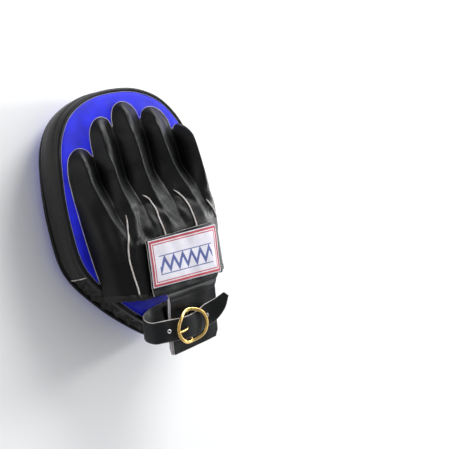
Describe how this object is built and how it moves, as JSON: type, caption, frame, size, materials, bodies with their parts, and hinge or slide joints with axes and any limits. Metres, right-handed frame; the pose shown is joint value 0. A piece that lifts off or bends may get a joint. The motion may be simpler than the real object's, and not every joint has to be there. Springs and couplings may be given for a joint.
{
  "type": "focus mitt",
  "caption": "Padded punch mitt with a crowned strike face and target, a gloved back with finger stalls, and a wrist tab closed by a buckled strap.",
  "frame": {"origin": "centre of the round target patch, on its flat outer face", "axes": "+Z from the strike face to the hand side, +Y from the wrist to the fingertips, +X towards the little finger"},
  "size_m": [0.2002, 0.2992, 0.1163],
  "materials": {
    "blue_leather": "satin",
    "black_leather": "satin",
    "white_leather": "satin",
    "raw_leather_edge": "matte",
    "foam": "matte",
    "felt": "matte",
    "woven_label": "matte",
    "brass": "polished",
    "nickel": "polished"
  },
  "bodies": {
    "pad": {"strike_face": "blue_leather", "target_patch": "white_leather", "badge_backing": "black_leather", "badge_disc": "white_leather", "impact_foam": "foam", "core_foam": "foam", "rear_foam": "foam", "back_panel": "blue_leather", "front_piping": "black_leather", "rear_piping": "black_leather", "side_gusset": "black_leather", "heel_gusset": "black_leather", "thumb_stall": "black_leather", "index_stall": "black_leather", "middle_stall": "black_leather", "ring_stall": "black_leather", "little_stall": "black_leather", "thenar_panel": "black_leather", "hand_back_panel": "black_leather", "mouth_binding": "black_leather", "thumb_seam_edge": "raw_leather_edge", "index_seam_edge": "raw_leather_edge", "middle_seam_edge": "raw_leather_edge", "ring_seam_edge": "raw_leather_edge", "wrist_flap": "black_leather", "label": "woven_label", "strap_base": "black_leather", "anchor_patch": "black_leather"},
    "wrist_tab": {"tab_lining": "black_leather", "tab_core": "felt", "tab_outer": "black_leather", "buckle_chape": "black_leather", "chape_rivet_left": "nickel", "chape_rivet_right": "nickel", "strap_run": "black_leather", "strap_eyelet_1": "nickel", "strap_eyelet_2": "nickel"},
    "buckle": {"buckle_frame": "brass"},
    "tongue": {"buckle_tongue": "brass"}
  },
  "joints": [
    {"name": "tab_bend", "type": "hinge", "parent": "pad", "child": "wrist_tab", "pos_m": [0, -0.0915, 0.09394], "axis": [-1, 0, 0], "range_deg": [-4, 14], "stiffness_Nm_per_rad": 1.2},
    {"name": "buckle_tilt", "type": "hinge", "parent": "wrist_tab", "child": "buckle", "pos_m": [-0.007, -0.13193, 0.09298], "axis": [-0.0523, 0.9713, 0.232], "range_deg": [-4, 4]},
    {"name": "tongue_swing", "type": "hinge", "parent": "buckle", "child": "tongue", "pos_m": [-0.007, -0.13193, 0.09298], "axis": [-0.0523, 0.9713, 0.232], "range_deg": [0, 38]}
  ]
}
